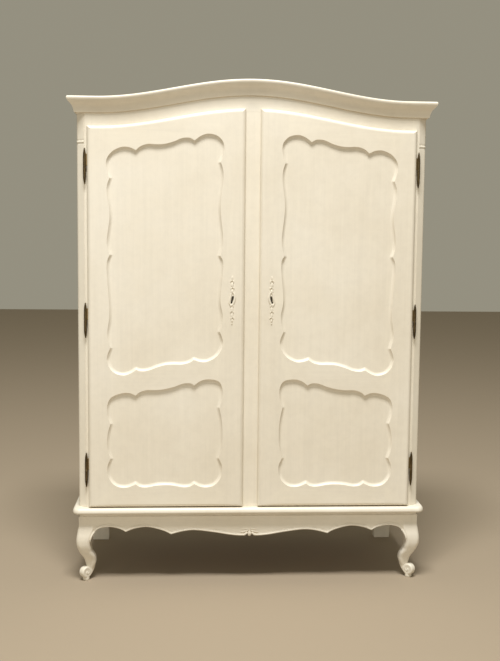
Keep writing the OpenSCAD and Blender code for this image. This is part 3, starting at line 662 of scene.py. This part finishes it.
def doors():
    """Each door's stiles and rails, cut out of one moulded frame."""
    whole = door_frame()
    for name, mirrored in SIDES:
        sign = -1 if mirrored else 1
        stile_in, stile_out = (sign * STILE_IN * MM, 0, 0), (sign * STILE_OUT * MM, 0, 0)
        upper, lower = (0, 0, UPPER_BREAK * MM), (0, 0, LOWER_BREAK * MM)
        inward, outward = (-sign, 0, 0), (sign, 0, 0)
        up, down = (0, 0, 1), (0, 0, -1)
        ends = [(stile_in, inward), (stile_out, outward)]
        members = {
            "lock_stile": (PAINT_Z, [(stile_in, outward)]),
            "hinge_stile": (PAINT_Z, [(stile_out, inward)]),
            "door_top_rail": (PAINT_X, [*ends, (upper, down)]),
            "door_mid_rail": (PAINT_X, [*ends, (upper, up), (lower, down)]),
            "door_bottom_rail": (PAINT_X, [*ends, (lower, up)]),
        }
        for member, (material, cuts) in members.items():
            bm = whole.bmesh(mirrored)
            for point, normal in cuts:
                cut(bm, point, normal)
            bmesh.ops.triangulate(bm, faces=[f for f in bm.faces if len(f.verts) > 4])
            title = f"{member}_moulded_{name}"
            add_piece(title, mesh_of(title, bm), material, f"{name}_door", [f"{member}_{name}"])


# ---------------------------------------------------------------- base

BASE_Z = low("base_moulding_right").z
BASE_T = high("base_moulding_right").z - BASE_Z
OUT_FRONT = -low("base_moulding_front").y
OUT_SIDE = high("base_moulding_right").x - CASE_HALF


def base_section():
    """Share of the way out from the case, where 1 is the tip, and height above the underside."""
    back, foot, tip = -1.6, 2.4, 11.6            # the tip is below the middle of the thickness
    points = [(back, foot), (0.30, foot), (0.36, foot + 0.5), (0.42, foot + 0.8)]
    for a in spread(-80, 84, 16):
        rise = tip - foot - 0.7 if a < 0 else BASE_T - 0.4 - tip
        points.append((0.52 + 0.48 * math.cos(math.radians(a)), tip + rise * math.sin(math.radians(a))))
    return points + [(0.30, BASE_T - 0.2), (back, BASE_T - 0.2)]


def base_corner(angle):
    """The moulding's section on its way round the corner: 0 degrees faces forward and 90 degrees sideways."""
    ring = []
    turn = 5                                     # radius of the case's corner under the moulding
    a = math.radians(angle)
    for share, h in base_section():
        front, side = share * OUT_FRONT + turn, share * OUT_SIDE + turn
        ring.append((CASE_HALF - turn + max(side, 0.01) * math.sin(a) + min(side, 0),
                     turn - max(front, 0.01) * math.cos(a) - min(front, 0), BASE_Z + h))
    return ring


def base_side(y, inmost=-2):
    """The section of the side strip at y, cut off at the share inmost of the way out."""
    return [(CASE_HALF + max(share, inmost) * OUT_SIDE, y, BASE_Z + h) for share, h in base_section()]


def base_mouldings():
    right_half = [base_corner(a) for a in spread(0, 45, 6)]
    left_half = [[(-x, y, z) for x, y, z in ring] for ring in reversed(right_half)]
    front = Shape()
    front.loft(left_half + right_half)
    title = "base_nosing_front"
    add_piece(title, mesh_of(title, front.bmesh()), PAINT_X, "case", ["base_moulding_front"])
    post_y = low("rear_post_right").y
    for name, mirrored in SIDES:
        side = Shape()
        # beside the rear post the moulding stays outside the case
        side.loft([base_corner(a) for a in spread(45, 90, 6)]
                  + [base_side(post_y), base_side(post_y, 0.01), base_side(CASE_BACK, 0.01)])
        title = f"base_nosing_{name}"
        add_piece(title, mesh_of(title, side.bmesh(mirrored)), PAINT_X, "case", [f"base_moulding_{name}"])


LEG_X0 = high("front_apron").x
APRON_T = high("front_apron").y
# Right half of the front apron's lower edge, cusp by cusp, from the centre to the leg
APRON_RUNS = [
    [(0, 179), (5, 181.5), (8.5, 191)],
    [(8.5, 191), (14, 187), (21, 181.5), (42, 181), (80, 185), (140, 195), (214, 204), (262, 200),
     (310, 188)],
    [(310, 188), (340, 203), (400, 218), (452, 212), (487, 199)],
    [(487, 199), (510, 211), (545, 219), (576, 217), (597, 210), (LEG_X0, 196), (LEG_X0 + 6, 187)],
]
SIDE_HALF = (low("side_apron_right").y + high("side_apron_right").y) / 2
SIDE_RUNS = [[(0, 214), (40, 208), (90, 220), (150, 224), (200, 212),
              (high("side_apron_right").y - SIDE_HALF, 200)]]
# The sunk band under the base moulding: depth and distance below the moulding
TOP_GROOVE = [(0, 10.6), (4.5, 10.2), (4.5, 0)]


def edge_relief(height):
    """How far the apron stands out at a height above its lower edge: a bead, then a fine incised line."""
    bead, line = 3.4, 12.0
    if height < 2 * bead:
        return 2.6 * math.sqrt(max(0, 1 - ((height - bead) / bead) ** 2))
    return -1.0 * max(0, 1 - abs(height - line) / 1.2)


def apron(runs, thickness):
    """A board with a shaped lower edge, drawn with its length along x and symmetric about x = 0."""
    right = [p for run in runs for p in spline(run, 9)]
    line = [(-x, z) for x, z in reversed(right)][:-1] + right
    heights = [0, 0.5, 1.4, 2.6, 3.4, 4.4, 5.6, 6.4, 6.8, 8.4, 10.8, 12.0, 13.2, 15.0]
    board = Shape()
    rows = [board.ring([(x, thickness, z) for x, z in line]), board.ring([(x, 0.4, z) for x, z in line])]
    for h in heights:
        rows.append(board.ring([(x, -edge_relief(h), z + h) for x, z in line]))
    for y, drop in TOP_GROOVE:
        rows.append(board.ring([(x, y, BASE_Z - drop) for x, z in line]))
    rows.append(board.ring([(x, thickness, BASE_Z) for x, z in line]))
    for a, b in zip(rows, rows[1:] + rows[:1]):
        board.bridge(a, b, closed=False)
    for end in (0, -1):
        board.fill([row[end] for row in rows])
    return board


def aprons():
    front = apron(APRON_RUNS, APRON_T)
    title = "apron_front_shaped"
    add_piece(title, mesh_of(title, front.bmesh()), PAINT_X, "case", ["front_apron"])
    for name, mirrored in SIDES:
        side = apron(SIDE_RUNS, APRON_T)
        side.points = [(CASE_HALF - y, SIDE_HALF + x, z) for x, y, z in side.points]
        title = f"apron_{name}_shaped"
        add_piece(title, mesh_of(title, side.bmesh(mirrored)), PAINT_X, "case", [f"side_apron_{name}"])


def carving():
    """A drop between two sprays of leaves, in low relief on the middle of the front apron."""
    spray = Shape()
    out = (0, -1, 0)
    drop = [(0, -1.4, z) for z in spread(206, 180.8, 12)]
    widths = [(0.6 + 7.0 * math.sin(math.pi * t ** 1.7) ** 0.75,
               1.0 + 4.2 * math.sin(math.pi * t ** 1.3) ** 0.7) for t in spread(0.02, 0.97, 12)]
    spray.loft(swept(drop, out, widths))
    curls = [[(9.5, 194.5), (13.5, 190.5), (19, 186), (27, 184.6), (37, 185.4)],
             [(5, 201), (14, 199.5), (25, 196), (36, 196.5)], [(3, 205), (10, 207.5), (20, 207.5), (31, 206)]]
    sizes = [(4.2, 4.4), (2.6, 1.6), (2.0, 1.2)]
    for sign in (-1, 1):
        for curl, (wide, tall) in zip(curls, sizes):
            path = [(sign * x, -0.6, z) for x, z in spline(curl, 5)]
            count = len(path) - 1
            swells = [math.sin(math.pi * (0.22 + 0.74 * k / count)) ** 0.8 for k in range(count + 1)]
            spray.loft(swept(path, out, [(0.4 + wide * swell, 0.5 + tall * swell) for swell in swells]))
    mesh = fused("apron_spray", spray, voxel=0.6, smooth=2, keep=0.5)
    add_piece("apron_spray", mesh, PAINT_X, "case", ["apron_carving"])


# ---------------------------------------------------------------- front legs

LEG_BLOCK = CASE_HALF - LEG_X0
LEG_CX, LEG_CY = CASE_HALF - LEG_BLOCK / 2, LEG_BLOCK / 2
# Height, shift outward along x and -y, half width, corner radius
BLOCK_ROWS = [(BASE_Z - drop, 0, LEG_BLOCK / 2 - y, 0.5) for y, drop in reversed(TOP_GROOVE)]
LEG_ROWS = [
    (252, 0, 29, 0.5), (238, 0, 29, 0.5), (224, 0.4, 29.2, 2.5), (206, 2.8, 30.8, 7), (192, 6.1, 29.9, 10),
    (179, 9.2, 29.0, 12), (166, 11.4, 28.0, 13), (155, 12.1, 27.2, 13.5), (144, 11.3, 27.0, 14.5),
    (132, 8.7, 26.7, 16), (120, 5.6, 25.4, 17), (108, 0.1, 25.6, 17.5), (98, -5.1, 25.4, 17.5),
    (88, -9.3, 24.1, 17), (78, -12, 22.5, 16), (68, -13.2, 21.2, 15), (58, -12.8, 18.7, 13.5),
    (48, -11.2, 15.5, 12), (40, -9, 12, 10),
]


def diagonal(d, t, z):
    """A point d out along the leg's diagonal, t across it, at height z."""
    return (LEG_CX + (d + t) / math.sqrt(2), LEG_CY + (t - d) / math.sqrt(2), z)


def leg_ring(z, shift, half, radius):
    """The leg's rounded square section at height z, shifted outward along x and -y."""
    ring = []
    for quarter, (sx, sy) in enumerate(((1, 1), (-1, 1), (-1, -1), (1, -1))):
        round_off = radius / 2 if quarter == 1 else radius      # the hidden inner corner stays sharper
        flat = half - round_off
        for k in range(9):
            a = math.radians(90 * quarter + 90 * k / 8)
            ring.append((LEG_CX + shift + sx * flat + round_off * math.cos(a),
                         LEG_CY - shift + sy * flat + round_off * math.sin(a), z))
    return ring


SCROLL_D, SCROLL_Z = 9, 33                       # centre of the scroll in the leg's diagonal plane
PAD_D = 6.4                                      # centre of the pad, out along the same diagonal


def scroll_path():
    """Centre line, half width and half thickness of the band that curls into the foot's scroll."""
    rows = [(-14, 86, 18.5, 17), (-18.6, 72, 18, 17), (-19.4, 58, 16, 16), (-16.6, 44, 12.6, 14.8),
            (-11.0, 31, 9.6, 13.9)]
    turns = [(225, 17.6, 7.6, 13.4), (250, 17.2, 6.8, 13.2), (270, 17.0, 6.6, 13.2), (315, 17.0, 6.5, 13.2),
             (360, 17.0, 6.5, 13.2), (405, 16.8, 6.4, 13.2), (450, 16.0, 6.2, 13.4), (495, 13.6, 5.6, 13.6),
             (540, 11.0, 5.0, 13.9), (585, 8.6, 4.4, 14.2), (630, 6.6, 4.0, 14.5), (675, 4.8, 3.8, 14.8),
             (720, 3.0, 3.6, 15.1), (765, 0.6, 3.8, 15.4)]
    for degrees, radius, half, thick in turns:
        a = math.radians(degrees)
        rows.append((SCROLL_D + radius * math.cos(a), SCROLL_Z + radius * math.sin(a), half, thick))
    return spline(rows, 6)


def scrolled_foot(leg):
    """The band that curls into a scroll, its face, and the pad under it."""
    rows = scroll_path()
    path = [diagonal(d, 0, z) for d, z, half, thick in rows]
    leg.loft(swept(path, Vector(diagonal(0, 1, 0)) - Vector(diagonal(0, 0, 0)), [row[2:] for row in rows],
                   power=3.2, sides=28))
    # the face of the scroll, which leaves only a shallow groove between its turns
    face = []
    for t, r in ((-12.6, 14), (-11.6, 18), (11.6, 18), (12.6, 14)):
        face.append([diagonal(SCROLL_D + r * math.cos(a), t, SCROLL_Z + r * math.sin(a))
                     for a in spread(0, 2 * math.pi * 27 / 28, 27)])
    leg.loft(face)
    pad = []
    for z, r in ((0, 12.4), (1.2, 13.4), (8, 13.6), (14, 13.2), (22, 12.0)):
        pad.append([(Vector(diagonal(PAD_D, 0, z)) + Vector((r * math.cos(a), r * math.sin(a), 0)))
                    for a in spread(0, 2 * math.pi * 31 / 32, 31)])
    leg.loft(pad)


def leg_bead(leg):
    """The bead of the apron runs on down the inner edge of the leg and dies away."""
    bead = spline([(608, -1.2, 202), (613.6, -3.6, 195.5), (618.5, -6.0, 187), (622.0, -7.8, 178),
                   (624.2, -8.6, 169), (625.4, -8.2, 160)], 5)
    count = len(bead) - 1
    leg.loft(swept(bead, (0, -1, 0), [(3.2 * (1 - k / count) ** 0.6 + 0.4, 2.6 * (1 - k / count) ** 0.6 + 0.3)
                                      for k in range(count + 1)], sides=14))


def front_leg():
    leg = Shape()
    leg.loft([leg_ring(*row) for row in BLOCK_ROWS + spline(LEG_ROWS, 4)])
    scrolled_foot(leg)
    leg_bead(leg)
    return leg


def front_legs():
    for name, mirrored in SIDES:
        title = f"cabriole_leg_{name}"
        mesh = fused(title, front_leg(), voxel=1.3, smooth=3, keep=0.45, mirrored=mirrored)
        add_piece(title, mesh, PAINT_Z, "case", [f"front_leg_{name}"], sharp=60)


# ---------------------------------------------------------------- hinges

BARREL_R = 5.75
HINGE_X = high("hinge_leaves_right").x - BARREL_R
HINGE_Y = DOOR_FACE / 2
HINGE_Z = (450, 1034, 1619)                      # the joints between the halves of the three hinges
LEAF_HALF = 1.25                                 # half of a leaf's thickness


def turned_shape(shape, profile, centre, count=28):
    """A closed turned solid: profile is radius and height from one end to the other."""
    x, y, z = centre
    shape.loft([[(x + r * math.cos(a), y + r * math.sin(a), z + h)
                 for a in spread(0, 2 * math.pi * (count - 1) / count, count - 1)] for r, h in profile])


def slab(shape, x0, x1, y0, y1, z0, z1, edge=0.4):
    """A plate with eased edges."""
    rings = []
    for z, inset in ((z0, edge), (z0 + edge, 0), (z1 - edge, 0), (z1, edge)):
        rings.append([(x0 + inset, y0 + inset, z), (x1 - inset, y0 + inset, z), (x1 - inset, y1 - inset, z),
                      (x0 + inset, y1 - inset, z)])
    shape.loft(rings)


def hinge_half(sign):
    """Radius and height of half a spindle, from the joint in the middle out to the tip."""
    taper = 33 if sign > 0 else 38               # the upper half tapers from lower down
    rows = [(BARREL_R - 0.6, 0.3), (BARREL_R, 0.8), (BARREL_R, 3.2), (BARREL_R - 0.5, 3.8), (BARREL_R, 4.4),
            (BARREL_R, taper), (BARREL_R - 0.5, taper + 0.7), (BARREL_R, taper + 1.4)]
    rows += spline([(BARREL_R - 0.1, taper + 2), (5.2, 46), (4.3, 54), (3.2, 60.5), (2.3, 63)], 3)
    rows += [(1.9, 63.6), (2.4, 64.4), (2.6, 65.6), (2.2, 66.9), (1.2, 67.7), (0.2, 67.9)]
    return [(r, sign * h) for r, h in rows]


def hinges():
    """The lower halves stay on the posts, and the upper halves turn with the doors."""
    lower = Shape()
    for x in (-HINGE_X, HINGE_X):
        for z in HINGE_Z:
            turned_shape(lower, hinge_half(-1), (x, HINGE_Y, z))
            slab(lower, x - LEAF_HALF, x + LEAF_HALF, HINGE_Y + 2, 20, z - 46, z - 1)
    title = "hinge_spindles_lower"
    add_piece(title, mesh_of(title, lower.bmesh()), BRONZE, "case", ["hinge_pins"])
    for name, mirrored in SIDES:
        upper = Shape()
        for z in HINGE_Z:
            turned_shape(upper, hinge_half(1), (HINGE_X, HINGE_Y, z))
            slab(upper, DOOR_OUTER - 20, HINGE_X - 2, HINGE_Y - LEAF_HALF, HINGE_Y + LEAF_HALF, z + 1, z + 46)
        title = f"hinge_spindles_upper_{name}"
        add_piece(title, mesh_of(title, upper.bmesh(mirrored)), BRONZE, f"{name}_door",
                  [f"hinge_leaves_{name}"])


# ---------------------------------------------------------------- key plates

PLATE_MID_Z = (low("escutcheon_right").z + high("escutcheon_right").z) / 2


def key_plate():
    """A pierced plate of scrolls round a leaning keyhole. u runs away from the centre stile, v runs up."""
    plate = Shape()
    out = (0, -1, 0)
    face = DOOR_FACE - 0.6

    def strand(points, wide, tall, steps=6):
        """A rounded strip that is widest and highest in its middle."""
        path = [(KEY_X + u, face, PLATE_MID_Z + v) for u, v in spline(points, steps)]
        count = len(path) - 1
        halves = []
        for k in range(count + 1):
            swell = math.sin(math.pi * (0.10 + 0.82 * k / count)) ** 0.7
            halves.append((0.5 + wide * swell, 0.7 + tall * swell))
        plate.loft(swept(path, out, halves, sides=14))

    def curl(v, side):
        """An open ring round a pierced eye, which is a little off the plate's axis."""
        turn = spread(-30, 260, 9) if side > 0 else spread(210, -80, 9)
        radius = 5.2
        strand([(1.2 * side + radius * math.cos(math.radians(a)), v + radius * math.sin(math.radians(a)))
                for a in turn], 2.5, 1.4, 2)

    # the shield round the keyhole
    strand([(-1, 34), (-7, 25), (-10, 12), (-7.5, -3), (-2, -15), (4, -23)], 3.8, 1.8)
    strand([(-1, 34), (4.5, 24), (6.5, 12), (9.5, 0), (10.5, -12), (4, -23)], 3.4, 1.8)
    # lobes and pierced curls above and below it
    for v, side in ((45, -1), (72, 1), (-22, 1), (-46, 1), (-70, -1)):
        curl(v, side)
    for foot, head, wide, tall in ((76, 93, 3.0, 2.2), (50, 67, 4.6, 2.2), (28, 41, 5.0, 2.0),
                                   (-42, -27, 4.8, 1.6), (-66, -51, 4.4, 1.5), (-84, -74, 3.4, 1.5),
                                   (-93, -86, 2.4, 1.2)):
        strand([(0, foot), (0.6, (foot + head) / 2), (0, head)], wide, tall, 5)
    return plate


def key_plates():
    for name, mirrored in SIDES:
        title = f"key_plate_{name}"
        mesh = fused(title, key_plate(), voxel=0.6, smooth=4, keep=0.5, mirrored=mirrored)
        add_piece(title, mesh, PLATE_PAINT, f"{name}_door", [f"escutcheon_{name}"], sharp=70)


# ---------------------------------------------------------------- nodes that keep their CAD shape

def dress(name, material, bevel=1.2):
    """A board whose CAD shape is right: its edges are eased and it gets a finished material."""
    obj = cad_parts[name]
    if not obj.data.materials:
        obj.data.materials.append(material)
    for place in obj.material_slots:
        place.link = "OBJECT"
        place.material = material
    weld = obj.modifiers.new("weld", "WELD")
    weld.merge_threshold = 1e-5
    ease = obj.modifiers.new("ease", "BEVEL")
    ease.width = bevel * MM
    ease.segments = 2
    ease.limit_method = "ANGLE"
    ease.angle_limit = math.radians(50)
    weighted = obj.modifiers.new("weighted_normals", "WEIGHTED_NORMAL")
    weighted.keep_sharp = False


def boards():
    """Every node whose CAD shape shows as it is."""
    for name in ("frieze_rail", "side_top_rail_left", "side_top_rail_right", "side_bottom_rail_left",
                 "side_bottom_rail_right"):
        dress(name, PAINT_X)
    for name in ("centre_stile", "rear_post_left", "rear_post_right", "side_panel_left", "side_panel_right",
                 "upper_panel_left", "upper_panel_right", "lower_panel_left", "lower_panel_right"):
        dress(name, PAINT_Z)
    for name in ("top_board", "floor_board", "hat_shelf", "back_top_rail", "back_bottom_rail", "back_apron"):
        dress(name, WOOD_X)
    for name in ("shelf_cleats", "back_muntin", "back_panel_left", "back_panel_right"):
        dress(name, WOOD_Z)
    for name in ("hanging_rail", "rail_sockets"):
        dress(name, BRASS, 0.6)
    for name in ("strike_plates", "lock_bolt_left", "lock_bolt_right"):
        dress(name, STEEL, 0.4)
    for name in ("lock_case_left", "lock_case_right"):
        dress(name, IRON, 0.4)


# ---------------------------------------------------------------- stage

FLOOR_COLOUR = (0.350, 0.283, 0.203, 1)
BACKDROP_COLOUR = (0.300, 0.280, 0.217, 1)
CAMERA_PLACE = (-0.221, FACE_Y - 3.761, 1.358)
CAMERA_LENS = 53.1


def stage():
    """A plain floor under a plain backdrop, a key light above the front and a weak fill light."""
    mesh = bpy.data.meshes.new("floor")
    reach = 14
    mesh.from_pydata([(-reach, -reach, 0), (reach, -reach, 0), (reach, reach, 0), (-reach, reach, 0)], [],
                     [(0, 1, 2, 3)])
    floor = bpy.data.objects.new("floor", mesh)
    bpy.context.scene.collection.objects.link(floor)
    material, tree, shader = node_material("pale_floor")
    shader.inputs["Base Color"].default_value = FLOOR_COLOUR
    shader.inputs["Roughness"].default_value = 0.8
    mesh.materials.append(material)

    world = bpy.data.worlds.new("studio")
    world.use_nodes = True
    world.node_tree.nodes["Background"].inputs["Color"].default_value = BACKDROP_COLOUR
    world.node_tree.nodes["Background"].inputs["Strength"].default_value = 1.0
    bpy.context.scene.world = world
    bpy.context.scene.view_settings.view_transform = "Standard"

    def area(name, place, aim, size, power, colour):
        light = bpy.data.lights.new(name, "AREA")
        light.shape = "RECTANGLE"
        light.size, light.size_y = size
        light.energy = power
        light.color = colour
        lamp = bpy.data.objects.new(name, light)
        lamp.location = place
        lamp.rotation_euler = (Vector(aim) - Vector(place)).to_track_quat("-Z", "Y").to_euler()
        bpy.context.scene.collection.objects.link(lamp)

    area("key_light", (-0.3, -2.86, 7.7), (0, -0.2, 0.9), (2.6, 1.6), 694, (1.0, 0.998, 0.985))
    area("fill_light", (-1.2, -5.5, 1.8), (0, 0, 0.6), (3.0, 2.0), 58, (1.0, 0.99, 0.92))


def camera():
    """Where the camera stood: in front of the left door, looking slightly down and to the right."""
    yaw, pitch, roll = math.radians(-3.28), math.radians(5.48), math.radians(-0.55)
    ahead = Vector((-math.sin(yaw) * math.cos(pitch), math.cos(yaw) * math.cos(pitch), -math.sin(pitch)))
    right = Vector((math.cos(yaw), math.sin(yaw), 0))
    down = ahead.cross(right)
    level = math.cos(roll) * right + math.sin(roll) * down
    under = -math.sin(roll) * right + math.cos(roll) * down
    data = bpy.data.cameras.new("camera")
    data.lens = CAMERA_LENS
    obj = bpy.data.objects.new("camera", data)
    axes = [(level[i], -under[i], -ahead[i], CAMERA_PLACE[i]) for i in range(3)]
    obj.matrix_world = Matrix((*axes, (0, 0, 0, 1)))
    bpy.context.scene.collection.objects.link(obj)
    bpy.context.scene.camera = obj


camera()
stage()
cornice()
corner_posts()
doors()
base_mouldings()
aprons()
carving()
front_legs()
hinges()
key_plates()
boards()

bpy.context.view_layer.update()
